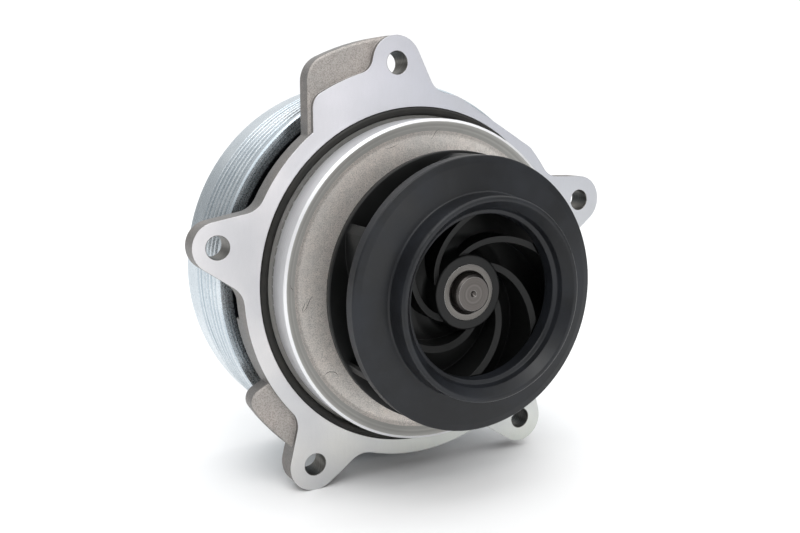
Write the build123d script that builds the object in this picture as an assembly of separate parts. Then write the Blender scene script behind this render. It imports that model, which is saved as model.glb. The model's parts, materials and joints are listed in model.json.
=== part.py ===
"""Engine coolant pump: flanged aluminium housing, closed plastic impeller and grooved belt pulley.

All sizes are in millimetres. The shaft lies along Y. The impeller is at -Y, on the engine side,
and the belt pulley is at +Y. The flange's machined mounting face is the plane y = 0, and the
origin is on the shaft axis in that plane, at the centre of the circle of bolt holes. +Z is up.
"""

import os
from math import atan2, cos, degrees, hypot, log, radians, sin, tan

from build123d import *

# ---- flange -------------------------------------------------------------------------------
lug_reach = 8.6               # from the disc's edge out to the circle of bolt holes
bolt_hole_r = 3.4             # clearance hole for an M6 screw
hole_countersink = 0.15       # broken edge at each hole's mouth
lug_angles = (97.0, 19.0, -53.0, -123.5, 168.0)   # degrees from +X towards +Z, uneven on purpose
lug_r = 8.1                   # rounded end of each lug
left_lug_r = 7.3              # the last lug is a little narrower
lug_root_r = 15.0             # the lug widens to this radius towards the disc
lug_root_depth = 11.4         # how far inside the disc's edge the wide end is centred
lug_blend_r = 7.0             # hollow corner between a lug and the disc
flange_rim = 8.2              # disc beyond the spigot
flange_thickness = 7.8
flat_angle = 60.0             # the disc has one flat, facing this way
flat_depth = 2.3
cast_step = 1.6               # the as-cast lobes lie this far behind the machined face
lobe_a_side = 36.4            # upper lobe: distance of its side from the shaft axis
lobe_a_land = 7.9             # upper lobe: band beyond the machined face's edge
lobe_a_corner = 8.0
pad_a_inset = 1.0             # as-cast band beside the machined face, on its left
pad_a_corner = 5.0
pad_a_blend_r = 5.0           # hollow corner where the machined face meets the upper lug
cast_rounding = 0.9           # rounded edges of the as-cast lobes
rear_rounding = 0.6           # rounded edge all round the flange's back
lobe_b_land = 8.0             # lower lobe: band beyond the disc
lobe_b_start = 3.0            # lower lobe: begins this many degrees from its lug
lobe_b_sweep = 27.5           # lower lobe: ends this many degrees from its lug
lobe_b_corner = 4.0
rear_pad_height = 2.2         # thick rib on the back of the flange beside the lower lobe
rear_pad_width = 8.0
rear_pad_start = 12.0         # the rib begins this many degrees from the lower lug
rear_pad_overhang = 20.0      # and runs this many degrees past the lower lobe

# ---- spigot and front wall ----------------------------------------------------------------
spigot_r = 49.2               # fits the engine's bore
spigot_height = 9.9
spigot_bevel = 0.5
o_ring_section = 2.62
o_ring_groove_width = 3.5     # from the spigot to the outer wall of the ring's groove
o_ring_groove_depth = 2.0     # the ring stands 0.6 mm proud of the face
spigot_undercut = 0.8         # relief beside the groove, at the spigot's root
spigot_undercut_height = 1.1
front_ring_width = 3.6        # turned ring inside the spigot's edge
front_ring_drop = 1.25
front_wall_drop = 2.2         # the cast front wall is dished by this much more
front_lip_width = 0.9         # flat lip between the spigot's edge and the turned ring
dish_flat_width = 8.0         # flat bottom of the dish round the seal
dish_flat_blend = 4.0
dish_edge_width = 1.2         # step down from the turned ring to the cast dish
dish_edge_drop = 0.5
dish_edge_blend = 2.0
pocket_blend = 2.5            # rounded corner at the bottom of the back pocket
wall = 5.0

# ---- shaft and its fits -------------------------------------------------------------------
shaft_r = 8.0
shaft_nose_r = 5.5            # thinner end that carries the impeller
shaft_nose_end = 30.9         # distance of the shaft's front end from the mounting face
nose_length = 16.9            # from the shoulder to the front end
shaft_stand_out = 1.5          # the shaft's rear end stands out of the pulley hub
shaft_bevel = 0.6
shoulder_bevel = 0.4
centre_mark_r = 1.0
seal_gap = 0.06               # running clearance of a rubbing or rolling pair
air_gap = 0.5                 # between turning and still pieces that never touch

# ---- bearing ------------------------------------------------------------------------------
bearing_bore_gap = 4.3        # from the shaft's surface to the outer ring's bore
bearing_ring_wall = 2.7
bearing_length = 28.0
bearing_rounding = 0.4
ball_r = 3.0
ball_count = 8
ball_pitch_gap = 2.6          # from the shaft's surface to the circle of ball centres
raceway_fit = 1.04            # groove radius over ball radius
cage_thickness = 1.9
cage_length = 7.4
cage_pocket_gap = 0.1
row_inset = 6.5               # distance of each ball row from its end of the bearing
bearing_seal_thickness = 1.2
bearing_seal_inset = 0.4
bearing_seal_seat = 0.7       # depth of the ledge that holds the seal

# ---- mechanical seal ----------------------------------------------------------------------
seal_cup_inset = 0.5          # the seal's cup is smaller than the bearing by this much
seal_cup_wall = 0.8
seal_cup_length = 10.8
seal_cup_lip = 2.4
seal_bore_floor = 1.5         # wall between the seal and the drain chamber
seal_floor_gap = 3.0          # between the shaft and the wall behind the seal
drain_chamber_wall = 1.4      # ledge that the bearing rests on
drain_chamber_length = 4.0
drain_hole_r = 1.6
slinger_width = 4.2
slinger_thickness = 0.8
carbon_gap = 1.0              # between the shaft and everything of the seal that stands still
carbon_nose_width = 3.2
carbon_body_width = 4.2
carbon_nose_length = 1.8
carbon_body_length = 2.6
spring_ring_thickness = 0.6
spring_wire_r = 0.5
spring_turns = 3
spring_side_gap = 0.3         # between the coil and the cup
spring_end_gap = 0.02
bellows_wall = 1.0
seat_ring_width = 5.6
seat_ring_length = 3.6
seat_boot_wall = 1.6
seat_boot_floor = 0.8
seat_boot_inset = 0.6         # the boot's floor is smaller than the seat ring by this much

# ---- impeller -----------------------------------------------------------------------------
bush_wall = 2.65
bush_bevel = 0.95
bush_end = 28.2               # distance of the bush's front face from the mounting face
hub_ring_wall = 2.65          # plastic round the bush at the impeller's nose
rear_shroud_r = 40.2
rear_shroud_back = 18.35      # distance of its back face from the mounting face
rear_shroud_rim = 2.1
outlet_width = 9.5            # gap between the two shrouds at the rim
front_shroud_r = 39.4
front_shroud_rim = 3.6
front_shroud_bevel = 2.2
front_shroud_slope = 1.4
eye_r = 23.5
eye_step = 1.7                # the collar's inside is wider than the eye by this much
collar_wall = 3.6
collar_height = 6.9
collar_draft = 0.4
collar_lip = 1.4              # flat front edge of the collar
eye_slope_depth = 3.0         # the collar's inside narrows over this depth
eye_step_depth = 4.6          # then steps in
eye_throat_depth = 5.2        # and is straight from here
vane_count = 6
vane_thickness = 1.9
vane_tip_angle = 22.0         # between the vane and the rim
vane_eye_angle = 37.0
vane_tip_phase = 148.0        # where the first vane's tip is
vane_steps = 12               # points along each side of a vane
hub_boss_wall = 4.25          # plastic round the bush at the impeller's back
hub_boss_length = 3.4
hub_nose_width = 1.4          # the hub's nose widens by this much over the next depth
hub_nose_depth = 4.2
hub_foot_width = 5.2          # then flares out to here, just above the shroud
hub_foot_height = 1.8
throat_depth = 3.0            # straight part of the throat before the passage turns outward

# ---- pulley and hub -----------------------------------------------------------------------
pulley_r = 60.5
pulley_front = 14.3           # distance of its front edge from the mounting face
pulley_width = 34.5
groove_count = 6
groove_pitch = 3.56
groove_depth = 2.4
groove_angle = 40.0
groove_tip_width = 1.0
front_land = 2.2              # plain land in front of the first groove
pulley_wall = 2.2             # steel left under the grooves
pulley_bevel = 0.5
rear_rim_depth = 1.5          # the rear rim's inside is bevelled by this much down to the web
web_thickness = 3.0
web_blend_r = 4.0
hub_gap = 1.5                 # between the bearing and the hub's barrel
hub_wall = 5.0                # steel of the hub's barrel round the shaft
hub_barrel_length = 1.5
hub_flange_r = 27.0
hub_flange_thickness = 4.6
pilot_gap = 0.05
pulley_bolt_count = 4
pulley_bolt_circle_r = 20.0
pulley_bolt_r = 3.0
pulley_bolt_gap = 0.3
bolt_head_flats = 10.0
bolt_head_height = 4.2
bolt_washer_r = 6.4
bolt_washer_thickness = 1.0

# ---- housing's back -----------------------------------------------------------------------
boss_wall = 5.5               # aluminium round the bearing
boss_taper = 1.5              # the boss is this much thinner at its rear end
boss_bevel = 0.8
boss_root_width = 2.0         # the boss widens by this much at the wall
boss_root_height = 4.0
pocket_rim = 4.4              # solid ring between the pocket and the spigot's outside
rib_thickness = 3.5
rib_angles = (45, 135, 225, 315)
bearing_stand_out = 0.5       # the bearing stands out of the boss by this much

# ---- radii that follow from the sizes above -------------------------------------------------
disc_r = spigot_r + flange_rim
bolt_circle_r = disc_r + lug_reach
o_ring_groove_r = spigot_r + o_ring_groove_width
ball_pitch_r = shaft_r + ball_pitch_gap
bearing_bore_r = shaft_r + bearing_bore_gap
bearing_r = bearing_bore_r + bearing_ring_wall
seal_cup_r = bearing_r - seal_cup_inset
seal_floor_bore_r = shaft_r + seal_floor_gap
drain_chamber_r = bearing_r - drain_chamber_wall
slinger_r = shaft_r + slinger_width
carbon_bore_r = shaft_r + carbon_gap
carbon_nose_r = carbon_bore_r + carbon_nose_width
carbon_body_r = carbon_bore_r + carbon_body_width
seat_ring_r = shaft_r + seat_ring_width
hub_barrel_r = shaft_r + hub_wall
pilot_r = shaft_r + hub_wall
boss_r = bearing_r + boss_wall
boss_tip_r = boss_r - boss_taper
bush_r = shaft_nose_r + bush_wall
hub_ring_r = bush_r + hub_ring_wall
hub_boss_r = bush_r + hub_boss_wall
eye_step_r = eye_r + eye_step
collar_r = eye_step_r + collar_wall

# ---- places along the shaft, worked out from the sizes above -------------------------------
front_ring_r = spigot_r - front_ring_width
front_ring_y = -spigot_height + front_ring_drop
front_wall_y = front_ring_y + front_wall_drop
cup_rear = front_wall_y + seal_cup_length - seal_cup_wall
drain_front = cup_rear + seal_bore_floor
drain_rear = drain_front + drain_chamber_length
bearing_front = drain_rear
bearing_rear = bearing_front + bearing_length
boss_end = bearing_rear - bearing_stand_out
shaft_front = -shaft_nose_end
shoulder_y = shaft_front + nose_length
hub_front = bearing_rear + hub_gap
hub_flange_front = hub_front + hub_barrel_length
hub_flange_rear = hub_flange_front + hub_flange_thickness
web_rear = hub_flange_rear + web_thickness
shaft_rear = web_rear + shaft_stand_out
pulley_rear = pulley_front + pulley_width
pocket_r = spigot_r - pocket_rim
pocket_floor = front_wall_y + wall
shroud_inner_y = -(rear_shroud_back + rear_shroud_rim + outlet_width)
shroud_front_y = shroud_inner_y - front_shroud_rim
collar_base_y = shroud_front_y - front_shroud_slope
collar_front_y = collar_base_y - collar_height
row_places = (bearing_front + row_inset, bearing_rear - row_inset)


def polar(radius, angle):
    """A point of the flange's own plane, measured from the shaft axis."""
    return radius * cos(radians(angle)), radius * sin(radians(angle))


def turned(*corners):
    """A solid turned about the shaft axis. Each corner is (radius, y) or (radius, y, rounding)."""
    points = [corner[:2] for corner in corners]
    roundings = [corner[2] if len(corner) == 3 else 0 for corner in corners]
    return revolve(make_face(FilletPolyline(*points, radius=roundings, close=True)), Axis.Y)


def ring(inner_r, outer_r, y_from, y_to):
    """A plain ring or, with no inner radius, a plain disc."""
    return turned((inner_r, y_from), (outer_r, y_from), (outer_r, y_to), (inner_r, y_to))


def plate(outline, y_from, y_to):
    """A flat outline, drawn in X and Z, given thickness between two places along Y."""
    return extrude(Plane.XZ.offset(-y_from) * outline, -(y_to - y_from))


def along_y(radius, y_from, y_to, x=0.0, z=0.0):
    """A round bar parallel to the shaft."""
    return plate(Pos(x, z) * Circle(radius), y_from, y_to)


def blend_corners(outline, radius, is_corner):
    """Round those corners of an outline that the test picks out."""
    corners = [corner for corner in outline.vertices() if is_corner(corner)]
    return fillet(corners, radius) if corners else outline


# ---- flange outlines ----------------------------------------------------------------------
def lug(angle):
    """One lug: a rounded end at its hole that widens towards the disc."""
    end_r = left_lug_r if angle == lug_angles[-1] else lug_r
    end = Pos(*polar(bolt_circle_r, angle)) * Circle(end_r)
    root = Pos(*polar(disc_r - lug_root_depth, angle)) * Circle(lug_root_r)
    return make_hull(end.edges() + root.edges())


def sector(outer_r, angle_from, angle_to):
    """A slice of a disc between two angles, counted counter-clockwise."""
    arc = CenterArc((0, 0), outer_r, angle_from, angle_to - angle_from)
    return make_face([Line((0, 0), arc @ 0), arc, Line(arc @ 1, (0, 0))])


def disc_with_lugs():
    """The flange's main outline, with hollow corners where the lugs meet the disc."""
    flat_r = disc_r - flat_depth
    beyond_flat = Pos(flat_r + disc_r / 2, 0) * Rectangle(disc_r, 2 * disc_r)
    outline = Circle(disc_r) - Rot(0, 0, flat_angle) * beyond_flat
    for angle in lug_angles:
        outline += lug(angle)
    near_disc = disc_r + 1.5
    return blend_corners(outline, lug_blend_r, lambda corner: hypot(corner.X, corner.Y) < near_disc)


def beside_upper_lug(left, outer_r, corner_r):
    """An outline from the upper lug sideways to the left, with its far corner rounded."""
    right = polar(bolt_circle_r + lug_r, lug_angles[0])[0]
    top = polar(bolt_circle_r, lug_angles[0])[1]
    block = Pos((left + right) / 2, top) * Rectangle(right - left, top)

    def far_corner(corner):
        return corner.X < left + 0.1 and corner.Y > top * 0.8

    return blend_corners(block & Circle(outer_r), corner_r, far_corner)


def upper_pad():
    """Machined face beyond the disc, between the upper lug and the edge of the upper lobe."""
    return beside_upper_lug(pad_a_inset - lobe_a_side, disc_r + lobe_a_land, pad_a_corner)


def upper_lobe():
    """As-cast block that fills the side of the upper lug."""
    return beside_upper_lug(-lobe_a_side, bolt_circle_r + lug_r, lobe_a_corner)


def lower_lobe():
    """As-cast lobe beside the lower left lug."""
    start = lug_angles[3] - lobe_b_start
    end = lug_angles[3] - lobe_b_sweep
    lobe = sector(disc_r + lobe_b_land, end, start)

    def at_outer_end(corner):
        return hypot(corner.X, corner.Y) > disc_r and degrees(atan2(corner.Y, corner.X)) < end + 1

    return blend_corners(lobe, lobe_b_corner, at_outer_end)


# ---- housing ------------------------------------------------------------------------------
def front_wall():
    """Spigot, turned ring and dished front wall with the seal seat, as one turned solid."""
    return turned(
        (seal_cup_r, front_wall_y),
        (carbon_body_r + dish_flat_width, front_wall_y, dish_flat_blend),
        (front_ring_r - dish_edge_width, front_ring_y + dish_edge_drop, dish_edge_blend),
        (front_ring_r, front_ring_y),
        (spigot_r - front_lip_width, -spigot_height, spigot_bevel / 2),
        (spigot_r, -spigot_height + spigot_bevel),
        (spigot_r, -spigot_undercut_height),
        (spigot_r - spigot_undercut, -spigot_undercut_height),
        (spigot_r - spigot_undercut, o_ring_groove_depth),
        (pocket_r, o_ring_groove_depth),
        (pocket_r, pocket_floor, pocket_blend),
        (boss_r, pocket_floor),
        (seal_cup_r, pocket_floor),
    )


def boss():
    """The nose that carries the bearing, with the seal bore and the drain chamber inside."""
    return turned(
        (seal_cup_r, front_wall_y + 0.5),
        (boss_r + boss_root_width, front_wall_y + 0.5),
        (boss_r + boss_root_width, pocket_floor),
        (boss_r, pocket_floor + boss_root_height),
        (boss_tip_r, boss_end, boss_bevel),
        (bearing_r, boss_end),
        (bearing_r, bearing_front),
        (drain_chamber_r, bearing_front),
        (drain_chamber_r, drain_front),
        (seal_floor_bore_r, drain_front),
        (seal_floor_bore_r, cup_rear),
        (seal_cup_r, cup_rear),
    )


def rib(angle):
    """A stiffening rib between the boss and the rim of the back pocket."""
    reach = pocket_r + 1 - boss_tip_r
    bar = Rot(0, 0, angle) * Pos(boss_tip_r - 0.5 + reach / 2, 0) * Rectangle(reach, rib_thickness)
    return plate(bar, pocket_floor - 0.5, flange_thickness)


def machined_outline():
    """Everything that the face mill reaches: the lugged disc and the pad beside the upper lug."""
    pad_top = disc_r + lobe_a_land

    def under_upper_lug(corner):
        off_top = abs(hypot(corner.X, corner.Y) - pad_top)
        return off_top < 0.5 and corner.Y > disc_r and corner.X > -lobe_a_side / 2

    return blend_corners(disc_with_lugs() + upper_pad(), pad_a_blend_r, under_upper_lug)


def rounded_plate(outline, y_from, rounding, front_too):
    """A plate back to the flange's rear face, its rear edges rounded, and the front too if asked."""
    block = plate(outline, y_from, flange_thickness)

    def to_round(edge):
        is_flat = edge.bounding_box().size.Y < 0.01
        return is_flat and (front_too or edge.center().Y > flange_thickness - 0.01)

    return fillet([edge for edge in block.edges() if to_round(edge)], rounding)


def housing():
    """The aluminium body: flange with five lugs, two as-cast lobes, spigot, wall and boss."""
    inside = plate(Circle(spigot_r - pocket_rim / 2), -1, flange_thickness + 1)
    machined = rounded_plate(machined_outline(), 0, rear_rounding, front_too=False)
    cast = rounded_plate(upper_lobe(), cast_step, cast_rounding, front_too=True)
    cast += rounded_plate(lower_lobe(), cast_step, cast_rounding, front_too=True)
    pad_from = lug_angles[3] - lobe_b_sweep - rear_pad_overhang
    pad_to = lug_angles[3] - rear_pad_start
    rear_pad = sector(disc_r, pad_from, pad_to) - Circle(disc_r - rear_pad_width)
    rear_pad_end = flange_thickness + rear_pad_height
    body = machined + cast - inside + plate(rear_pad, flange_thickness - 1, rear_pad_end)
    body -= ring(pocket_r, o_ring_groove_r, -1, o_ring_groove_depth)
    body = body + front_wall() + boss()
    for angle in rib_angles:
        body += rib(angle)
    for angle in lug_angles:
        x, z = polar(bolt_circle_r, angle)
        body -= along_y(bolt_hole_r, -1, flange_thickness + 1, x, z)
        mouth = Cone(bolt_hole_r, bolt_hole_r + hole_countersink, hole_countersink)
        body -= Pos(x, hole_countersink / 2, z) * Rot(90, 0, 0) * mouth
    drain_y = (drain_front + drain_rear) / 2
    drain = Pos(0, drain_y, -boss_r / 2 - drain_chamber_r / 2) * Cylinder(drain_hole_r, boss_r)
    return body - drain


def o_ring():
    """Rubber ring in the groove of the flange's face, beside the spigot."""
    section_r = o_ring_section / 2
    middle_y = o_ring_groove_depth - section_r
    return Pos(0, middle_y, 0) * Rot(90, 0, 0) * Torus(o_ring_groove_r - section_r, section_r)


# ---- shaft and bearing --------------------------------------------------------------------
def raceway(on_shaft):
    """A ring-shaped groove for each row of balls, on the shaft or in the outer ring."""
    groove_r = ball_r * raceway_fit
    offset = groove_r - ball_r - seal_gap
    centre_r = ball_pitch_r + offset if on_shaft else ball_pitch_r - offset
    return [Pos(0, y, 0) * Rot(90, 0, 0) * Torus(centre_r, groove_r) for y in row_places]


def shaft():
    """Ground steel shaft, which is also the bearing's inner race."""
    body = turned(
        (0, shaft_front),
        (shaft_nose_r - shaft_bevel, shaft_front),
        (shaft_nose_r, shaft_front + shaft_bevel),
        (shaft_nose_r, shoulder_y),
        (shaft_r - shoulder_bevel, shoulder_y),
        (shaft_r, shoulder_y + shoulder_bevel),
        (shaft_r, shaft_rear - shaft_bevel),
        (shaft_r - shaft_bevel, shaft_rear),
        (0, shaft_rear),
    )
    for groove in raceway(on_shaft=True):
        body -= groove
    mark = Cone(0.01, centre_mark_r, centre_mark_r)
    return body - Pos(0, shaft_front + centre_mark_r / 2 - 0.001, 0) * Rot(90, 0, 0) * mark


def bearing_outer_ring():
    """Outer ring with two ball grooves and a ledge at each end for its seal."""
    seat_r = bearing_bore_r + bearing_seal_seat
    seat_length = bearing_seal_inset + bearing_seal_thickness
    body = turned(
        (bearing_bore_r, bearing_front + seat_length),
        (seat_r, bearing_front + seat_length),
        (seat_r, bearing_front),
        (bearing_r, bearing_front, bearing_rounding),
        (bearing_r, bearing_rear, bearing_rounding),
        (seat_r, bearing_rear),
        (seat_r, bearing_rear - seat_length),
        (bearing_bore_r, bearing_rear - seat_length),
    )
    for groove in raceway(on_shaft=False):
        body -= groove
    return body


def ball_places(y):
    """Where the balls of one row sit."""
    for number in range(ball_count):
        x, z = polar(ball_pitch_r, 360 * number / ball_count)
        yield Pos(x, y, z)


def balls(y):
    """One row of separate steel balls."""
    return [place * Sphere(ball_r) for place in ball_places(y)]


def cage(y):
    """Plastic cage with one round pocket for each ball of a row."""
    middle = ball_pitch_r + 0.1
    half = cage_thickness / 2
    body = ring(middle - half, middle + half, y - cage_length / 2, y + cage_length / 2)
    for number in range(ball_count):
        angle = 360 * number / ball_count
        pocket = Rot(0, 90, 0) * Cylinder(ball_r + cage_pocket_gap, 4 * cage_thickness)
        body -= Pos(0, y, 0) * Rot(0, -angle, 0) * Pos(middle, 0, 0) * pocket
    return body


def bearing_seal(y_from):
    """Rubber-faced ring at one end of the bearing."""
    outer_r = bearing_bore_r + bearing_seal_seat
    return ring(shaft_r + seal_gap, outer_r, y_from, y_from + bearing_seal_thickness)


# ---- mechanical seal ----------------------------------------------------------------------
carbon_rear = front_wall_y + 1.6
carbon_middle = carbon_rear - carbon_body_length
carbon_front = carbon_middle - carbon_nose_length
seat_rear = carbon_front - seal_gap
seat_front = seat_rear - seat_ring_length
spring_front = carbon_rear + spring_ring_thickness
spring_rear = cup_rear - seal_cup_wall


def seal_cup():
    """Pressed metal cup that holds the seal in the housing; its lip rests on the front wall."""
    return turned(
        (seal_cup_r - seal_cup_wall, front_wall_y - seal_cup_wall),
        (seal_cup_r + seal_cup_lip, front_wall_y - seal_cup_wall),
        (seal_cup_r + seal_cup_lip, front_wall_y),
        (seal_cup_r, front_wall_y),
        (seal_cup_r, cup_rear),
        (carbon_bore_r, cup_rear),
        (carbon_bore_r, cup_rear - seal_cup_wall),
        (seal_cup_r - seal_cup_wall, cup_rear - seal_cup_wall),
    )


def carbon_ring():
    """Carbon ring whose narrow nose rubs on the turning seat."""
    return turned(
        (carbon_bore_r, carbon_front),
        (carbon_nose_r, carbon_front),
        (carbon_nose_r, carbon_middle),
        (carbon_body_r, carbon_middle),
        (carbon_body_r, carbon_rear),
        (carbon_bore_r, carbon_rear),
    )


def spring_ring():
    """Thin metal ring that spreads the spring's push over the carbon ring."""
    return ring(carbon_bore_r, carbon_body_r, carbon_rear, spring_front)


def bellows():
    """Rubber sleeve inside the spring that keeps the coolant in."""
    middle = (spring_front + spring_rear) / 2
    return turned(
        (carbon_bore_r, spring_front),
        (carbon_bore_r + bellows_wall, spring_front),
        (carbon_bore_r + 1.6 * bellows_wall, middle, 0.5),
        (carbon_bore_r + bellows_wall, spring_rear),
        (carbon_bore_r, spring_rear),
        (carbon_bore_r + 0.6 * bellows_wall, middle, 0.5),
    )


def seal_spring():
    """Coil spring between the spring ring and the bottom of the cup."""
    outside = seal_cup_r - seal_cup_wall - spring_side_gap
    coil_r = outside - spring_wire_r
    start = spring_front + spring_wire_r + spring_end_gap
    height = spring_rear - spring_wire_r - spring_end_gap - start
    pitch = height / spring_turns
    path = Helix(pitch=pitch, height=height, radius=coil_r, center=(0, start, 0), direction=(0, 1, 0))
    section = Plane(origin=path @ 0, z_dir=path % 0) * Circle(spring_wire_r)
    return sweep(section, path=path, is_frenet=True)


def seat_ring():
    """Hard ring that turns with the shaft and bears on the carbon ring."""
    return ring(shaft_r + seat_boot_wall, seat_ring_r, seat_front, seat_rear)


def seat_boot():
    """Rubber boot that grips the shaft and carries the seat ring."""
    return turned(
        (shaft_r, seat_front - seat_boot_floor),
        (seat_ring_r - seat_boot_inset, seat_front - seat_boot_floor),
        (seat_ring_r - seat_boot_inset, seat_front),
        (shaft_r + seat_boot_wall, seat_front),
        (shaft_r + seat_boot_wall, seat_rear - air_gap),
        (shaft_r, seat_rear - air_gap),
    )


def slinger():
    """Thin ring on the shaft that throws leaked coolant into the drain chamber."""
    middle = (drain_front + drain_rear) / 2
    return ring(shaft_r, slinger_r, middle - slinger_thickness / 2, middle + slinger_thickness / 2)


# ---- impeller -----------------------------------------------------------------------------
def shroud_inner_line():
    """The front shroud's inner surface, from the eye to the rim, which the vanes follow."""
    return [
        (eye_r, shroud_inner_y - throat_depth),
        (eye_r + 0.8, shroud_inner_y - 1.8),
        (eye_r + 3.0, shroud_inner_y - 1.2),
        (front_shroud_r, shroud_inner_y),
    ]


def vane_outline(phase):
    """One curved vane seen along the shaft: steep at the eye, nearly along the rim at its tip."""
    inner_r = hub_ring_r - 1.0
    ratio = (front_shroud_r / inner_r) ** (1 / vane_steps)
    angle = radians(phase)
    radius = front_shroud_r
    left, right = [], []
    for step in range(vane_steps + 1):
        share = (radius - inner_r) / (front_shroud_r - inner_r)
        lean = radians(vane_eye_angle + (vane_tip_angle - vane_eye_angle) * share)
        across = angle + lean
        half = vane_thickness / 2
        x, z = radius * cos(angle), radius * sin(angle)
        left.append((x + half * cos(across), z + half * sin(across)))
        right.append((x - half * cos(across), z - half * sin(across)))
        radius /= ratio
        angle += log(ratio) / tan(lean)
    sides = [Spline(*left), Line(left[-1], right[-1]), Spline(*reversed(right)), Line(right[0], left[0])]
    return make_face(sides)


def vane_space():
    """The space between the shrouds that the vanes fill, with their sloping edge in the eye."""
    inner = shroud_inner_line()
    rear = rear_shroud_front_line()
    return turned(
        (hub_ring_r - 0.8, -bush_end + 1.2),
        (eye_r - 0.01, inner[0][1] + 0.9),
        *inner[1:],
        (front_shroud_r, rear[-1][1] + 0.5),
        (rear[-2][0], rear[-2][1] + 0.5),
        (rear[1][0] - 1.0, rear[1][1] + 0.5),
        (hub_ring_r - 0.8, rear[0][1] + 4),
    )


def rear_shroud_front_line():
    """The rear shroud's wet surface, from the hub's nose out to the rim."""
    rim_y = -(rear_shroud_back + rear_shroud_rim)
    return [
        (hub_ring_r, -bush_end),
        (hub_ring_r + hub_nose_width, -bush_end + hub_nose_depth),
        (hub_ring_r + hub_foot_width, rim_y - hub_foot_height),
        (rear_shroud_r * 0.6, rim_y - 0.6),
        (rear_shroud_r, rim_y),
    ]


def impeller_body():
    """Rear shroud, hub and vanes, moulded in one."""
    front = rear_shroud_front_line()
    back = -rear_shroud_back
    body = turned(
        (bush_r, -bush_end),
        (front[0][0], front[0][1], 0.5),
        (front[1][0], front[1][1], 2),
        (front[2][0], front[2][1], 4),
        front[3],
        (front[4][0], front[4][1], 0.4),
        (rear_shroud_r, back, 0.4),
        (hub_boss_r + 6, back + 0.3),
        (hub_boss_r, back + 0.6, 1),
        (hub_boss_r, back + hub_boss_length),
        (bush_r, back + hub_boss_length),
    )
    space = vane_space()
    for number in range(vane_count):
        outline = vane_outline(vane_tip_phase + 360 * number / vane_count)
        body += plate(outline, collar_base_y - 2, back - 1) & space
    return body


def impeller_shroud():
    """Front shroud: rim, gently sloping face and the collar round the eye."""
    inner = shroud_inner_line()
    return turned(
        (front_shroud_r, shroud_inner_y),
        (front_shroud_r, shroud_front_y, 0.5),
        (front_shroud_r - front_shroud_bevel, shroud_front_y - 0.5, 1.2),
        (collar_r + collar_draft, collar_base_y, 0.6),
        (collar_r, collar_front_y, 0.9),
        (collar_r - collar_lip, collar_front_y, 0.5),
        (eye_step_r, collar_front_y + eye_slope_depth, 0.4),
        (eye_step_r - 0.5, collar_front_y + eye_step_depth, 0.3),
        (eye_r, collar_front_y + eye_throat_depth, 0.4),
        *inner[:-1],
    )


def impeller_bush():
    """Steel sleeve moulded into the impeller and pressed on the shaft's nose."""
    return turned(
        (shaft_nose_r + bush_bevel, -bush_end),
        (bush_r, -bush_end),
        (bush_r, shoulder_y),
        (shaft_nose_r, shoulder_y),
        (shaft_nose_r, -bush_end + bush_bevel),
    )


# ---- pulley -------------------------------------------------------------------------------
def pulley():
    """Steel cup with belt grooves, a plain band behind them and a web near its rear edge."""
    inside_r = pulley_r - groove_depth - pulley_wall
    body = turned(
        (pilot_r + pilot_gap, hub_flange_rear),
        (inside_r, hub_flange_rear, web_blend_r),
        (inside_r, pulley_front, 0.6),
        (pulley_r - pulley_bevel, pulley_front),
        (pulley_r, pulley_front + pulley_bevel),
        (pulley_r, pulley_rear - pulley_bevel),
        (pulley_r - pulley_bevel, pulley_rear),
        (pulley_r - pulley_wall, pulley_rear, 0.5),
        (pulley_r - pulley_wall - rear_rim_depth, web_rear),
        (pilot_r + pilot_gap, web_rear),
    )
    half_mouth = (groove_pitch - groove_tip_width) / 2
    flare = tan(radians(groove_angle / 2))
    half_floor = half_mouth - groove_depth * flare
    floor_r = pulley_r - groove_depth
    for number in range(groove_count):
        y = pulley_front + front_land + groove_pitch * (number + 0.5)
        body -= turned(
            (pulley_r + 1, y - half_mouth - flare),
            (floor_r, y - half_floor),
            (floor_r, y + half_floor),
            (pulley_r + 1, y + half_mouth + flare),
        )
    for place in bolt_places():
        body -= place * Cylinder(pulley_bolt_r + pulley_bolt_gap, 3 * web_thickness)
    return body


def bolt_places():
    """Where the pulley bolts stand, on the pulley's web, with their own axis along the shaft."""
    for number in range(pulley_bolt_count):
        x, z = polar(pulley_bolt_circle_r, 360 * (number + 0.5) / pulley_bolt_count)
        yield Pos(x, web_rear, z) * Rot(-90, 0, 0)


def pulley_hub():
    """Steel hub pressed on the shaft, with tapped holes for the pulley bolts."""
    body = turned(
        (shaft_r, hub_front),
        (hub_barrel_r, hub_front, 0.5),
        (hub_barrel_r, hub_flange_front),
        (hub_flange_r, hub_flange_front, 0.5),
        (hub_flange_r, hub_flange_rear, 0.5),
        (pilot_r, hub_flange_rear),
        (pilot_r, web_rear, 0.5),
        (shaft_r, web_rear),
    )
    for place in bolt_places():
        body -= place * Cylinder(pulley_bolt_r, 6 * hub_flange_thickness)
    return body


def pulley_bolts():
    """Flanged hexagon bolts that hold the pulley on its hub."""
    length = web_thickness + hub_flange_thickness + 1
    bolts = []
    for place in bolt_places():
        shank = Pos(0, 0, -length / 2) * Cylinder(pulley_bolt_r, length)
        washer = Pos(0, 0, bolt_washer_thickness / 2) * Cylinder(bolt_washer_r, bolt_washer_thickness)
        head = extrude(RegularPolygon(bolt_head_flats / 2, 6, major_radius=False), bolt_head_height)
        bolts.append(place * (shank + washer + head))
    return bolts


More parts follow.
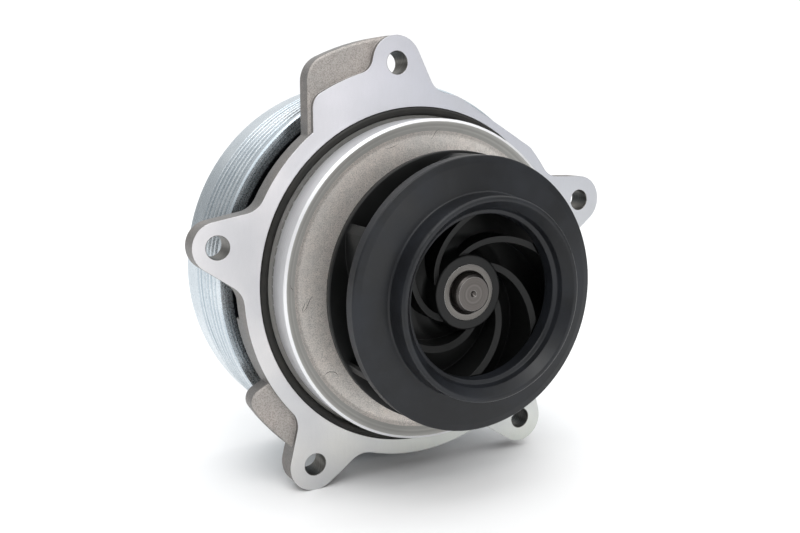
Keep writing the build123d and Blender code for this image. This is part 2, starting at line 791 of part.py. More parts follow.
# ---- all pieces ---------------------------------------------------------------------------
def pieces():
    """Every node's name and its solid, or a list of solids for a group."""
    front_row, rear_row = row_places
    front_seal_y = bearing_front + bearing_seal_inset
    rear_seal_y = bearing_rear - bearing_seal_inset - bearing_seal_thickness
    return {
        "housing": housing(),
        "flange_o_ring": o_ring(),
        "bearing_outer_ring": bearing_outer_ring(),
        "bearing_seal_front": bearing_seal(front_seal_y),
        "bearing_seal_rear": bearing_seal(rear_seal_y),
        "balls_front": balls(front_row),
        "balls_rear": balls(rear_row),
        "cage_front": cage(front_row),
        "cage_rear": cage(rear_row),
        "shaft": shaft(),
        "slinger": slinger(),
        "seal_cup": seal_cup(),
        "seal_bellows": bellows(),
        "seal_spring": seal_spring(),
        "seal_spring_ring": spring_ring(),
        "seal_carbon_ring": carbon_ring(),
        "seal_seat_ring": seat_ring(),
        "seal_seat_boot": seat_boot(),
        "impeller_body": impeller_body(),
        "impeller_shroud": impeller_shroud(),
        "impeller_bush": impeller_bush(),
        "pulley_hub": pulley_hub(),
        "pulley": pulley(),
        "pulley_bolts": pulley_bolts(),
    }


os.makedirs("parts", exist_ok=True)
for name, shape in pieces().items():
    solid = Compound(shape) if isinstance(shape, list) else shape
    export_step(solid, f"parts/{name}.step")
    print(name, round(solid.volume, 1))
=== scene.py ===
# %% [markdown]
# # The looks of a car engine's coolant pump
#
# The pump is an aluminium casting that bolts to the engine. A black plastic impeller stands in
# front of it, in the coolant, and a steel belt pulley stands behind it. Both turn on one shaft.
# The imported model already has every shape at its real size, so this lesson is mostly about
# finishes: how each metal, rubber and plastic was made, and how shader nodes can show that.
# Everything is in metres. The shaft lies along Y, with the impeller at -Y.

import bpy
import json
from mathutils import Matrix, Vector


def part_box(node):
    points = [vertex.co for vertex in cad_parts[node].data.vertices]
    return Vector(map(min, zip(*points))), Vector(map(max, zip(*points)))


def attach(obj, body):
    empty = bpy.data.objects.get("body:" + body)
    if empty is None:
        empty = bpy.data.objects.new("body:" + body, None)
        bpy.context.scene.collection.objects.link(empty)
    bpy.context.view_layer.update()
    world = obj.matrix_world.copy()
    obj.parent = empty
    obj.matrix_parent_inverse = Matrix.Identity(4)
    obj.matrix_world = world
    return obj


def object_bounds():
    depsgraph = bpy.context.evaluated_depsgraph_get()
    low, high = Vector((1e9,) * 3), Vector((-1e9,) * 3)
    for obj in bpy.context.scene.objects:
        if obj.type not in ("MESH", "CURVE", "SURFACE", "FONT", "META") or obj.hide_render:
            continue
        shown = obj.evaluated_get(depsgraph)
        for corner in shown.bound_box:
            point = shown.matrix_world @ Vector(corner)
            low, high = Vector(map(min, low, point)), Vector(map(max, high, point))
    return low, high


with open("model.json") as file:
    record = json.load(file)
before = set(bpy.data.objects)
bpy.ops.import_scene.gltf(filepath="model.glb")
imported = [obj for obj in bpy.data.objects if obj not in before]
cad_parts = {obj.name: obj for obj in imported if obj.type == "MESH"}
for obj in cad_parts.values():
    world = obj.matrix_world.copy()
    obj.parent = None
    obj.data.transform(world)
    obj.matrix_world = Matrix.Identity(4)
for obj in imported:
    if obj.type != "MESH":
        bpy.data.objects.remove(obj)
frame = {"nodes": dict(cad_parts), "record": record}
packed_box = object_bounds()
nodes = frame["nodes"]
print("pieces from the packed model:", len(nodes))

# %% Tools for the lesson
import json
import math
import random

import bmesh
import bpy
import numpy as np
from mathutils import Vector
from mathutils.bvhtree import BVHTree

MM = 0.001
bpy.context.scene.view_settings.view_transform = "Standard"
mounts = {mount["name"]: mount for mount in frame["record"]["mounts"]}
print("mounting places in the record:", sorted(mounts))

# %% [markdown]
# ## The camera
#
# A camera can be aimed by typing in angles, but it is easier to think of where one would hold
# it: stand at a distance, at a bearing round the object and a height above it, and look at
# one point. The bearing is counted from straight in front of the impeller, and minus is to its
# left. A direction vector turned into a rotation by to_track_quat keeps the horizon level.

# %% Aim the camera
def point_from(aim, bearing, height, distance):
    """The point at a bearing and a height angle, in degrees, and a distance from the aim."""
    turn = math.radians(bearing)
    rise = math.radians(height)
    flat = math.cos(rise)
    return aim + distance * Vector((math.sin(turn) * flat, -math.cos(turn) * flat, math.sin(rise)))


aim = Vector((-7.14, 0.0, 3.90)) * MM
camera = bpy.data.objects.new("camera", bpy.data.cameras.new("camera"))
bpy.context.scene.collection.objects.link(camera)
camera.location = point_from(aim, bearing=-28.30, height=9.64, distance=276.5 * MM)
camera.rotation_euler = (aim - camera.location).to_track_quat("-Z", "Y").to_euler()
camera.data.lens = 40.2
camera.data.sensor_width = 36.0
camera.data.clip_start = 5 * MM
bpy.context.scene.camera = camera
print("camera stands at", [round(v / MM, 1) for v in camera.location], "mm")

# %% [markdown]
# ## Tools for finishes
#
# Each finish below is a node tree that ends in one Principled shader. Wiring nodes one by one is
# wordy, so a small class holds the tree and offers the moves a metal finisher would think of:
# grain, lathe lines, mottling, pits, and a painted highlight along sharp edges. All patterns are
# measured in millimetres from the piece's own coordinates, so they ride with the piece when it turns.

# %% Colours as the eye sees them
def seen(red, green, blue):
    """A colour given as the eye reads it on a screen, 0 to 1, changed to linear light."""
    def linear(value):
        return value / 12.92 if value <= 0.04045 else ((value + 0.055) / 1.055) ** 2.4

    return linear(red), linear(green), linear(blue), 1.0


print("a mid grey is", round(seen(0.5, 0.5, 0.5)[0], 3), "in linear light")


# %% The finish builder
class Finish:
    """A material being built, with moves named for what they do to a surface."""

    def __init__(self, name, metallic, roughness, specular=0.5):
        self.material = bpy.data.materials.new(name)
        self.material.use_nodes = True
        self.tree = self.material.node_tree
        self.shader = self.tree.nodes["Principled BSDF"]
        self.shader.inputs["Metallic"].default_value = metallic
        self.shader.inputs["Roughness"].default_value = roughness
        self.shader.inputs["Specular IOR Level"].default_value = specular
        own_place = self.tree.nodes.new("ShaderNodeTexCoord").outputs["Object"]
        self.place = self.vector("SCALE", own_place, scale=1 / MM)
        self.apart = self.tree.nodes.new("ShaderNodeSeparateXYZ")
        self.link(self.place, self.apart.inputs[0])
        self.relief = None

    def link(self, source, target):
        """Join a socket, a colour or a number to an input."""
        if isinstance(source, (int, float, tuple)):
            target.default_value = source
        else:
            self.tree.links.new(source, target)

    def vector(self, operation, first, second=None, scale=None):
        node = self.tree.nodes.new("ShaderNodeVectorMath")
        node.operation = operation
        self.link(first, node.inputs[0])
        if second is not None:
            self.link(second, node.inputs[1])
        if scale is not None:
            node.inputs["Scale"].default_value = scale
        return node.outputs["Value" if operation in ("LENGTH", "DOT_PRODUCT") else "Vector"]

    def sum(self, operation, first, second=0.0, clamp=False):
        node = self.tree.nodes.new("ShaderNodeMath")
        node.operation = operation
        node.use_clamp = clamp
        self.link(first, node.inputs[0])
        self.link(second, node.inputs[1])
        return node.outputs[0]

    def noise(self, per_mm, detail=2.0, stretch=None, rough=0.5):
        """Cloudy noise with so many features in a millimetre, stretched if asked."""
        node = self.tree.nodes.new("ShaderNodeTexNoise")
        node.inputs["Scale"].default_value = per_mm
        node.inputs["Detail"].default_value = detail
        node.inputs["Roughness"].default_value = rough
        place = self.vector("MULTIPLY", self.place, stretch) if stretch else self.place
        self.link(place, node.inputs["Vector"])
        return node.outputs["Fac"]

    def lathe_lines(self, per_mm, detail=3.0):
        """Fine rings round the shaft, as a turning tool leaves them on faces and cylinders."""
        flat = self.vector("MULTIPLY", self.place, (1.0, 0.0, 1.0))
        along = self.sum("ADD", self.vector("LENGTH", flat), self.apart.outputs["Y"])
        node = self.tree.nodes.new("ShaderNodeTexNoise")
        node.noise_dimensions = "1D"
        node.inputs["Scale"].default_value = per_mm
        node.inputs["Detail"].default_value = detail
        self.link(along, node.inputs["W"])
        return node.outputs["Fac"]

    def pits(self, per_mm, size):
        """1 inside small scattered pits and 0 elsewhere."""
        node = self.tree.nodes.new("ShaderNodeTexVoronoi")
        node.inputs["Scale"].default_value = per_mm
        self.link(self.place, node.inputs["Vector"])
        return self.span(node.outputs["Distance"], size, size * 0.6)

    def span(self, value, low, high, to_low=0.0, to_high=1.0):
        """Stretch a value so that low becomes to_low and high becomes to_high, held between."""
        node = self.tree.nodes.new("ShaderNodeMapRange")
        self.link(value, node.inputs["Value"])
        for name, number in zip(("From Min", "From Max", "To Min", "To Max"), (low, high, to_low, to_high)):
            node.inputs[name].default_value = number
        return node.outputs["Result"]

    def blend(self, share, first, second):
        """The first colour where share is 0, and the second where it is 1."""
        node = self.tree.nodes.new("ShaderNodeMix")
        node.data_type = "RGBA"
        self.link(share, node.inputs["Factor"])
        self.link(first, node.inputs["A"])
        self.link(second, node.inputs["B"])
        return node.outputs["Result"]

    def rounded(self, radius_mm):
        """Make sharp edges catch the light as if they were rounded. Returns an edge mask that the finishes use for
        a painted highlight along edges.
        """
        node = self.tree.nodes.new("ShaderNodeBevel")
        node.samples = 6
        node.inputs["Radius"].default_value = radius_mm * MM
        self.relief = node.outputs["Normal"]
        geometry = self.tree.nodes.new("ShaderNodeNewGeometry")
        agree = self.vector("DOT_PRODUCT", node.outputs["Normal"], geometry.outputs["Normal"])
        return self.span(agree, 0.98, 0.75)

    def raise_by(self, height, depth_mm, strength=1.0):
        """Add a relief whose height runs from 0 to depth_mm."""
        node = self.tree.nodes.new("ShaderNodeBump")
        node.inputs["Strength"].default_value = strength
        node.inputs["Distance"].default_value = depth_mm * MM
        self.link(height, node.inputs["Height"])
        if self.relief is not None:
            self.link(self.relief, node.inputs["Normal"])
        self.relief = node.outputs["Normal"]

    def done(self, colour, roughness=None):
        """Wire colour, roughness and relief into the shader, and hand the material over."""
        self.link(colour, self.shader.inputs["Base Color"])
        if roughness is not None:
            self.link(roughness, self.shader.inputs["Roughness"])
        if self.relief is not None:
            self.link(self.relief, self.shader.inputs["Normal"])
        print("finish ready:", self.material.name)
        return self.material


# %% [markdown]
# ## Milled aluminium
#
# The flange's face, which seals against the engine, is cut flat by a face mill. That leaves a
# fine satin surface with long faint arcs, a little brighter here and there. A mirror-like metal
# would look wrong: the cutter's marks scatter light, so roughness is around 0.4. A slow drift
# of colour over the face comes from large, soft noise. Over it the face is painted darker and
# cooler towards the top and lighter towards the left, as painted reflection and painted highlight.

# %% Make the milled face's finish
def milled_aluminium():
    finish = Finish("milled_aluminium", metallic=1.0, roughness=0.4)
    edge_highlight = finish.rounded(0.25)
    # Painted reflection and painted highlight: darker and cooler towards the top, lighter towards the left.
    height = finish.span(finish.apart.outputs["Z"], -60.0, 55.0)
    side = finish.span(finish.apart.outputs["X"], 10.0, -62.0)
    colour = finish.blend(height, seen(0.815, 0.825, 0.80), seen(0.765, 0.77, 0.805))
    colour = finish.blend(finish.span(side, 0.0, 1.0, 0.0, 0.7), colour, seen(0.84, 0.82, 0.82))
    drift = finish.noise(0.045, detail=2.0)
    colour = finish.blend(finish.span(drift, 0.35, 0.65, 0.0, 0.6), colour, seen(0.745, 0.75, 0.765))
    arcs = finish.noise(1.1, detail=3.0, stretch=(1.0, 0.2, 0.25))
    colour = finish.blend(finish.span(arcs, 0.4, 0.75, 0.0, 0.10), colour, seen(0.70, 0.70, 0.71))
    satin = finish.noise(3.2, detail=3.0, rough=0.7)
    colour = finish.blend(finish.span(satin, 0.45, 0.8, 0.0, 0.22), colour, seen(0.66, 0.66, 0.67))
    # Edges are painted lighter here: a painted highlight along sharp edges.
    colour = finish.blend(finish.span(edge_highlight, 0.0, 1.0, 0.0, 0.7), colour, seen(0.95, 0.95, 0.95))
    finish.raise_by(arcs, 0.003)
    finish.raise_by(satin, 0.008)
    return finish.done(colour, finish.span(drift, 0.3, 0.7, 0.36, 0.46))


face_finish = milled_aluminium()

# %% [markdown]
# ## As-cast aluminium
#
# Everywhere the cutter did not reach, the casting keeps the skin it had when it left the mould:
# warm grey, dull, and finely grained. Real castings are not evenly coloured. The die's coating
# leaves warm, rosy patches, so two sizes of noise mix three colours. The grain is both colour
# and relief, because under soft light the relief alone would hardly show.

# %% Make the as-cast finishes
def cast_aluminium(name, base, warm, dark, grain_mm, metallic, edge_highlight_share):
    finish = Finish(name, metallic=metallic, roughness=0.55)
    edge_highlight = finish.rounded(0.5)
    patches = finish.span(finish.noise(0.07, detail=4.0, rough=0.6), 0.36, 0.66)
    grain = finish.noise(1 / grain_mm, detail=3.0, rough=0.7)
    mottle = finish.noise(0.6, detail=4.0, rough=0.7)
    colour = finish.blend(patches, base, warm)
    colour = finish.blend(finish.span(mottle, 0.45, 0.72, 0.0, 0.30), colour, dark)
    colour = finish.blend(finish.span(grain, 0.46, 0.62, 0.0, 0.7), colour, dark)
    # Edges are painted lighter here: a painted highlight along sharp edges.
    colour = finish.blend(finish.span(edge_highlight, 0.0, 1.0, 0.0, edge_highlight_share), colour, seen(0.88, 0.87, 0.86))
    finish.raise_by(grain, 0.07)
    finish.raise_by(mottle, 0.06)
    return finish.done(colour, finish.span(grain, 0.3, 0.7, 0.50, 0.62))


skin_finish = cast_aluminium(
    "cast_skin", seen(0.67, 0.655, 0.64), seen(0.72, 0.69, 0.67), seen(0.50, 0.485, 0.47),
    grain_mm=0.30, metallic=0.8, edge_highlight_share=0.25
)
# A darker copy of the cast skin for the flange's side walls: painted shade, for sides turned away from the light.
shaded_side_finish = cast_aluminium(
    "cast_sides_painted_shade", seen(0.52, 0.515, 0.51), seen(0.56, 0.54, 0.525), seen(0.40, 0.39, 0.385),
    grain_mm=0.30, metallic=0.8, edge_highlight_share=0.20
)
wall_finish = cast_aluminium(
    "cast_front_wall", seen(0.89, 0.875, 0.855), seen(0.94, 0.905, 0.875), seen(0.62, 0.605, 0.59),
    grain_mm=0.26, metallic=0.6, edge_highlight_share=0.4
)

# %% [markdown]
# ## Turned aluminium
#
# The spigot that fits the engine's bore is turned on a lathe, so its marks are rings round the
# shaft. One-dimensional noise does this well: it changes along the radius on a face and along
# the shaft on a cylinder, and stays the same all the way round, exactly as a cutting tool moves.

# %% Make the turned finishes
def turned_metal(name, light, dark, roughness, lines_per_mm=3.0, groove_mm=0.006, metallic=1.0):
    finish = Finish(name, metallic=metallic, roughness=roughness)
    edge_highlight = finish.rounded(0.25)
    lines = finish.lathe_lines(lines_per_mm)
    cloud = finish.noise(0.08, detail=2.0)
    colour = finish.blend(finish.span(lines, 0.35, 0.70), light, dark)
    colour = finish.blend(finish.span(cloud, 0.4, 0.75, 0.0, 0.5), colour, dark)
    # Edges are painted lighter here: a painted highlight along sharp edges.
    colour = finish.blend(finish.span(edge_highlight, 0.0, 1.0, 0.0, 0.8), colour, seen(0.97, 0.97, 0.97))
    finish.raise_by(lines, groove_mm)
    return finish.done(colour, finish.span(lines, 0.3, 0.7, roughness - 0.05, roughness + 0.07))


spigot_finish = turned_metal(
    "turned_spigot", seen(0.94, 0.94, 0.945), seen(0.86, 0.86, 0.87), roughness=0.38, groove_mm=0.004,
    metallic=0.6
)
ring_finish = turned_metal(
    "turned_front_ring", seen(0.74, 0.735, 0.72), seen(0.64, 0.635, 0.62), roughness=0.60, metallic=0.35
)
bore_finish = turned_metal(
    "drilled_hole", seen(0.52, 0.51, 0.49), seen(0.30, 0.295, 0.28), roughness=0.45, groove_mm=0.015
)

# %% [markdown]
# ## Which part of the casting gets which finish
#
# The housing is one mesh, but it needs seven finishes with crisp borders where the cutter
# stopped. The flange's side walls get a darker copy of the cast skin, which is painted shade for
# sides turned away from the light. A painted mask would blur at those borders. Faces can instead
# be sorted by where they are and which way they look, and each face keeps a material number.
# Only the numbers change, so the imported shape stays exactly as it was. Reading all faces into
# arrays keeps this quick.

# %% Read a mesh's faces as arrays
def face_table(piece):
    """Every face's centre in millimetres, its distance from the shaft, and its direction."""
    faces = piece.data.polygons
    centres = np.empty(len(faces) * 3)
    faces.foreach_get("center", centres)
    normals = np.empty(len(faces) * 3)
    faces.foreach_get("normal", normals)
    centres = centres.reshape(-1, 3) / MM
    return centres, np.hypot(centres[:, 0], centres[:, 2]), normals.reshape(-1, 3)


def dress(piece, finishes, numbers=None):
    """Give a piece its list of finishes, and each face the number of its own."""
    piece.data.materials.clear()
    for finish in finishes:
        piece.data.materials.append(finish)
    if numbers is None:
        numbers = np.zeros(len(piece.data.polygons))
    piece.data.polygons.foreach_set("material_index", numbers.astype(np.int32))
    piece.data.update()
    print(piece.name, "has faces in each finish:", np.bincount(numbers.astype(int)).tolist())


# %% Sort the housing's faces
housing = nodes["housing"]
centres, radius, normals = face_table(housing)
along = centres[:, 1]
spigot_r = mounts["spigot"]["dims"]["r_mm"]
ring_inner_r = spigot_r - 3.6
groove_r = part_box("flange_o_ring")[1].x / MM
groove_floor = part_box("flange_o_ring")[1].y / MM

kind = np.zeros(len(radius))
faces_engine = normals[:, 1] < -0.99
on_mounting_plane = np.abs(along) < 0.05
kind[on_mounting_plane & faces_engine] = 1
kind[(radius < spigot_r + 0.1) & (radius > spigot_r - 1.0) & (along < 0.0)] = 2
in_groove = (along > 0.1) & (radius > spigot_r - 1.0) & (radius < groove_r + 0.1) & (along < groove_floor + 0.1)
kind[in_groove] = 3
kind[(radius > ring_inner_r - 0.1) & (radius <= spigot_r - 0.8) & (along < -8.0)] = 3
kind[(radius <= ring_inner_r - 0.1) & (along < -5.0)] = 4
for name, mount in mounts.items():
    if mount["kind"] == "bore":
        hole = np.array(mount["pos_m"]) / MM
        from_hole = np.hypot(centres[:, 0] - hole[0], centres[:, 2] - hole[2])
        kind[from_hole < mount["dims"]["r_mm"] + 0.4] = 5
kind[(radius < 15.2) & (along > -5.0)] = 2
# Sideways-looking faces of the skin take the darker copy: painted shade.
looks_sideways = np.abs(normals[:, 1]) < 0.5
kind[(kind == 0) & looks_sideways & (along > 0.0)] = 6
housing_finishes = [skin_finish, face_finish, spigot_finish, ring_finish, wall_finish, bore_finish, shaded_side_finish]
dress(housing, housing_finishes, kind)

# %% [markdown]
# ## Rubber
#
# The O-ring is moulded rubber, nearly black with a brown cast, and satin rather than shiny. A
# thin line of light along it shows that it is round. Fine noise in the relief breaks up that
# line the way handling and a trace of grease do.

# %% Make the rubber finishes
def rubber(name, colour, dusty, roughness):
    finish = Finish(name, metallic=0.0, roughness=roughness, specular=0.3)
    cloud = finish.noise(0.25, detail=3.0)
    specks = finish.noise(3.0, detail=2.0)
    shade = finish.blend(finish.span(cloud, 0.4, 0.75), colour, dusty)
    shade = finish.blend(finish.span(specks, 0.66, 0.78, 0.0, 0.5), shade, dusty)
    finish.raise_by(finish.noise(1.6, detail=3.0), 0.02)
    return finish.done(shade, finish.span(cloud, 0.3, 0.7, roughness - 0.07, roughness + 0.1))


o_ring_finish = rubber("o_ring_rubber", seen(0.085, 0.082, 0.070), seen(0.135, 0.128, 0.112), 0.45)
seal_finish = rubber("seal_rubber", seen(0.10, 0.10, 0.10), seen(0.16, 0.16, 0.16), 0.55)
dress(nodes["flange_o_ring"], [o_ring_finish])
for name in ("seal_bellows", "seal_seat_boot", "bearing_seal_front", "bearing_seal_rear"):
    dress(nodes[name], [seal_finish])

# %% [markdown]
# ## Moulded black plastic
#
# The impeller is glass-filled plastic, moulded in two parts and welded. It looks black, yet a
# black with nothing in it reads as a hole in the picture. The real surface is a very dark grey
# with cloudy, slightly blue patches, and it shines softly where the mould was polished.

# %% Make the impeller's finish
def moulded_plastic(name, colour, cloudy, edge_highlight_colour, roughness, specular=0.3):
    finish = Finish(name, metallic=0.0, roughness=roughness, specular=specular)
    edge_highlight = finish.rounded(0.35)
    clouds = finish.noise(0.07, detail=4.0)
    streaks = finish.noise(0.22, detail=3.0)
    shade = finish.blend(finish.span(clouds, 0.42, 0.72), colour, cloudy)
    shade = finish.blend(finish.span(streaks, 0.5, 0.8, 0.0, 0.5), shade, cloudy)
    # Edges are painted lighter here: a painted highlight along sharp edges.
    shade = finish.blend(finish.span(edge_highlight, 0.0, 1.0, 0.0, 0.35), shade, edge_highlight_colour)
    finish.raise_by(finish.noise(2.5, detail=3.0), 0.010)
    finish.raise_by(finish.noise(0.3, detail=1.0), 0.02)
    return finish.done(shade, finish.span(clouds, 0.35, 0.7, roughness - 0.06, roughness + 0.10))


impeller_finish = moulded_plastic(
    "impeller_plastic", seen(0.09, 0.095, 0.105), seen(0.125, 0.135, 0.155), seen(0.115, 0.12, 0.125), 0.36
)
# The impeller's body with its vanes gets a darker copy of the same plastic: painted shade for the inside of the
# impeller, where little light gets in.
shaded_vane_finish = moulded_plastic(
    "vane_plastic_painted_shade", seen(0.05, 0.053, 0.052), seen(0.07, 0.073, 0.072), seen(0.105, 0.108, 0.107), 0.40, 0.28
)
cage_finish = moulded_plastic(
    "cage_plastic", seen(0.62, 0.54, 0.40), seen(0.55, 0.47, 0.34), seen(0.70, 0.62, 0.48), 0.5
)
dress(nodes["impeller_shroud"], [impeller_finish])
dress(nodes["impeller_body"], [shaded_vane_finish])
for name in ("cage_front", "cage_rear"):
    dress(nodes[name], [cage_finish])

# %% [markdown]
# ## The pulley's zinc plate
#
# The pulley is turned from steel and zinc plated. Plating is bright, cool and a little milky,
# with a fine sparkle, and the turning lines show through it. The faces inside the cup, that look
# towards the shaft, get a dark finish of their own with light grains: painted shade of the cup's
# shadowed inside.

# %% Make the pulley's finishes
def zinc_plate(name, light, dark, roughness):
    finish = Finish(name, metallic=1.0, roughness=roughness)
    edge_highlight = finish.rounded(0.3)
    lines = finish.lathe_lines(2.2)
    sparkle = finish.noise(2.4, detail=3.0, rough=0.7)
    cloud = finish.noise(0.06, detail=2.0)
    colour = finish.blend(finish.span(lines, 0.35, 0.68), light, dark)
    colour = finish.blend(finish.span(cloud, 0.40, 0.70, 0.0, 0.6), colour, seen(0.85, 0.875, 0.89))
    colour = finish.blend(finish.span(sparkle, 0.5, 0.75, 0.0, 0.6), colour, dark)
    # Edges are painted lighter here: a painted highlight along sharp edges.
    colour = finish.blend(edge_highlight, colour, seen(0.98, 0.985, 0.99))
    finish.raise_by(lines, 0.010)
    finish.raise_by(sparkle, 0.012)
    return finish.done(colour, finish.span(sparkle, 0.35, 0.7, roughness - 0.06, roughness + 0.1))


# The dark base colour is painted shade for the cup's shadowed inside; the light grains are the plating's sparkle.
def shaded_cup_zinc():
    finish = Finish("pulley_cup_painted_shade", metallic=0.5, roughness=0.55)
    grain = finish.noise(2.6, detail=3.0, rough=0.7)
    colour = finish.blend(finish.span(grain, 0.58, 0.72), seen(0.17, 0.19, 0.22), seen(0.62, 0.66, 0.70))
    finish.raise_by(grain, 0.05)
    return finish.done(colour, finish.span(grain, 0.3, 0.7, 0.45, 0.65))


zinc_finish = zinc_plate("zinc_plate", seen(0.80, 0.83, 0.855), seen(0.60, 0.655, 0.69), 0.26)
shaded_cup_finish = shaded_cup_zinc()

# %% Sort the pulley's faces
pulley = nodes["pulley"]
centres, radius, normals = face_table(pulley)
towards_shaft = (normals[:, 0] * centres[:, 0] + normals[:, 2] * centres[:, 2]) / radius
pulley_low, pulley_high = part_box("pulley")
web_front = (pulley_high.y / MM) - 8.0
inside_cup = (towards_shaft < -0.3) & (centres[:, 1] < web_front) & (radius > 50.0)
inside_cup |= (normals[:, 1] < -0.5) & (radius < 55.5) & (centres[:, 1] > 30.0)
# Faces inside the cup take the dark finish, which is painted shade.
dress(pulley, [zinc_finish, shaded_cup_finish], inside_cup.astype(int))
dress(nodes["pulley_bolts"], [zinc_finish])

# %% [markdown]
# ## Steel of the shaft, bush and bearing
#
# Three more turned finishes, from the same recipe as the spigot: the dark end of the shaft with
# its plain rings, the lighter bush round it, and the bright parts inside the bearing. Reusing
# the recipe with other numbers keeps related metals looking related.

# %% Make the steels
shaft_finish = turned_metal(
    "shaft_steel", seen(0.42, 0.405, 0.395), seen(0.34, 0.325, 0.315), roughness=0.42, lines_per_mm=1.6,
    groove_mm=0.012
)
bush_finish = turned_metal(
    "bush_steel", seen(0.48, 0.47, 0.455), seen(0.38, 0.37, 0.36), roughness=0.42, lines_per_mm=2.5
)
hub_finish = turned_metal(
    "hub_steel", seen(0.60, 0.59, 0.585), seen(0.44, 0.43, 0.43), roughness=0.36, groove_mm=0.012
)
bearing_finish = turned_metal(
    "bearing_steel", seen(0.76, 0.76, 0.77), seen(0.66, 0.66, 0.67), roughness=0.22, groove_mm=0.002
)
brass_finish = turned_metal(
    "seal_brass", seen(0.80, 0.68, 0.42), seen(0.66, 0.54, 0.32), roughness=0.32
)
carbon_finish = turned_metal(
    "seal_carbon", seen(0.20, 0.20, 0.21), seen(0.13, 0.13, 0.14), roughness=0.30, groove_mm=0.001
)
steels = {
    shaft_finish: ["shaft"],
    bush_finish: ["impeller_bush"],
    hub_finish: ["pulley_hub"],
    bearing_finish: ["bearing_outer_ring", "balls_front", "balls_rear", "slinger", "seal_spring"],
    brass_finish: ["seal_cup", "seal_spring_ring"],
    carbon_finish: ["seal_carbon_ring", "seal_seat_ring"],
}
for finish, names in steels.items():
    for name in names:
        dress(nodes[name], [finish])

# %% [markdown]
# ## Flow marks on the casting
#
# Where two streams of molten metal met in the mould, the front wall has a few fine dark creases.
# They are too few and too sharp for noise, so each one is a real sliver of geometry: a thin,
# tapering thread laid half into the surface. A ray cast straight back from the engine's side
# finds the surface under each point, so the thread follows the dish without any measuring.

# %% Lay threads on the front wall
random.seed(11)
housing_mesh = housing.data
surface = BVHTree.FromPolygons(
    [vertex.co for vertex in housing_mesh.vertices],
    [face.vertices for face in housing_mesh.polygons],
)


def on_front(radius_mm, angle):
    """The point of the housing's front that is seen from the engine's side at that place."""
    turn = math.radians(angle)
    start = Vector((radius_mm * math.cos(turn), -60.0, radius_mm * math.sin(turn))) * MM
    hit, normal, index, distance = surface.ray_cast(start, Vector((0.0, 1.0, 0.0)))
    return hit


def crease(name, start, heading, length_mm, width_mm):
    """A thread from a (radius, angle) place, wandering a little as it goes."""
    radius_mm, angle = start
    steps = 9
    points = []
    for step in range(steps):
        points.append(on_front(radius_mm, angle))
        heading += random.uniform(-28, 28)
        stride = length_mm / (steps - 1)
        radius_mm += stride * math.cos(math.radians(heading))
        angle += math.degrees(stride * math.sin(math.radians(heading)) / radius_mm)
    curve = bpy.data.curves.new(name, "CURVE")
    curve.dimensions = "3D"
    curve.bevel_depth = width_mm * MM / 2
    curve.bevel_resolution = 2
    line = curve.splines.new("POLY")
    line.points.add(steps - 1)
    for step, point in enumerate(points):
        line.points[step].co = (*point, 1.0)
        line.points[step].radius = 0.25 + 0.75 * math.sin(math.pi * step / (steps - 1))
    thread = bpy.data.objects.new(name, curve)
    bpy.context.scene.collection.objects.link(thread)
    return thread


crease_finish = rubber("crease_shadow", seen(0.33, 0.31, 0.295), seen(0.42, 0.40, 0.38), 0.7)
creases = {
    "flow_mark_left_a": ((43.2, 187.0), 215.0, 5.5, 0.22),
    "flow_mark_left_b": ((43.2, 187.0), 265.0, 3.2, 0.18),
    "flow_mark_low_left": ((44.5, 214.0), 165.0, 6.0, 0.20),
    "flow_mark_top_a": ((43.8, 112.0), 250.0, 4.6, 0.16),
    "flow_mark_top_b": ((43.0, 92.0), 255.0, 5.0, 0.14),
    "flow_mark_ring": ((47.0, 176.0), 95.0, 2.4, 0.18),
}
for name, (start, heading, length_mm, width_mm) in creases.items():
    thread = crease(name, start, heading, length_mm, width_mm)
    thread.data.materials.append(crease_finish)
    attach(thread, "housing")
print("flow marks laid:", len(creases))

# %% [markdown]
# ## The floor and the light
#
# Product pictures of shiny metal are taken in a white room: the metal shows whatever is round
# it, so the room matters more than the lamps. Here the sky is the room: a bright ceiling and a
# white wall beyond the pump, and a greyer room in front and at the left, so that surfaces turned
# to the camera keep their tone. The ceiling makes the pale floor as white as the wall, and only
# a faint shadow is left. Two soft lamps add the highlights.

# %% Lay the floor
low, high = packed_box
floor_mesh = bpy.data.meshes.new("floor")
floor_shape = bmesh.new()
bmesh.ops.create_circle(floor_shape, cap_ends=True, segments=96, radius=4.0)
floor_shape.to_mesh(floor_mesh)
floor_shape.free()
floor = bpy.data.objects.new("floor", floor_mesh)
floor.location = (0.0, 0.0, low.z)
bpy.context.scene.collection.objects.link(floor)
paper = Finish("floor_paper", metallic=0.0, roughness=0.9, specular=0.1)
fibres = paper.noise(0.02, detail=2.0)
floor_mesh.materials.append(
    paper.done(paper.blend(fibres, seen(0.955, 0.955, 0.955), seen(0.975, 0.975, 0.975)))
)
print("floor lies at", round(low.z / MM, 2), "mm")

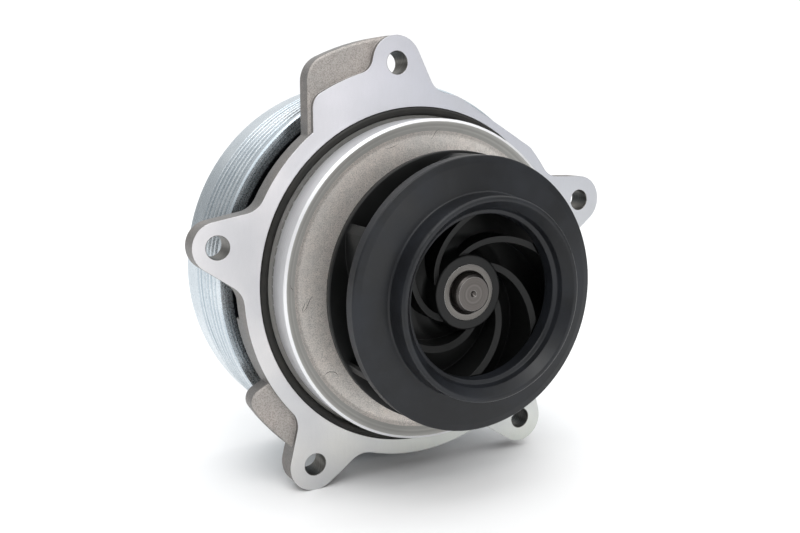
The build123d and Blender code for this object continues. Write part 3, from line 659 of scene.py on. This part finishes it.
# %% Paint the room
world = bpy.data.worlds.new("white_room")
bpy.context.scene.world = world
world.use_nodes = True
room = world.node_tree
towards = room.nodes.new("ShaderNodeTexCoord").outputs["Generated"]
wall_middle = Vector((0.47, 0.88, 0.0))


def room_tone(direction, edge, full, tone_outside, tone_inside):
    """Light that grows as one looks more towards a direction, between two cosines."""
    facing = room.nodes.new("ShaderNodeVectorMath")
    facing.operation = "DOT_PRODUCT"
    facing.inputs[1].default_value = direction
    tone = room.nodes.new("ShaderNodeMapRange")
    tone.interpolation_type = "SMOOTHSTEP"
    room.links.new(towards, facing.inputs[0])
    room.links.new(facing.outputs["Value"], tone.inputs["Value"])
    for name, number in zip(("From Min", "From Max", "To Min", "To Max"), (edge, full, tone_outside, tone_inside)):
        tone.inputs[name].default_value = number
    return tone.outputs["Result"]


brighter = room.nodes.new("ShaderNodeMath")
brighter.operation = "MAXIMUM"
room.links.new(room_tone(Vector((0, 0, 1)), 0.25, 0.75, 0.40, 1.52), brighter.inputs[0])
room.links.new(room_tone(wall_middle, 0.60, 0.86, 0.0, 1.06), brighter.inputs[1])
room.links.new(brighter.outputs[0], room.nodes["Background"].inputs["Strength"])
room.nodes["Background"].inputs["Color"].default_value = seen(0.995, 0.998, 1.0)
print("the white wall stands towards", [round(v, 2) for v in wall_middle])


# %% Hang the lamps
def soft_lamp(name, bearing, height, distance, size, watts):
    """A square soft lamp at a bearing and height from the pump, turned to face it."""
    lamp = bpy.data.lights.new(name, "AREA")
    lamp.shape = "SQUARE"
    lamp.size = size
    lamp.energy = watts
    stand = bpy.data.objects.new(name, lamp)
    stand.location = point_from(Vector((0.0, 0.0, 0.0)), bearing, height, distance)
    stand.rotation_euler = (-stand.location).to_track_quat("-Z", "Y").to_euler()
    bpy.context.scene.collection.objects.link(stand)
    print(name, "gives", watts, "watts from", distance, "metres")


soft_lamp("key_lamp", bearing=-25, height=55, distance=0.9, size=0.5, watts=2.4)
soft_lamp("front_lamp", bearing=15, height=6, distance=1.0, size=0.35, watts=0.8)
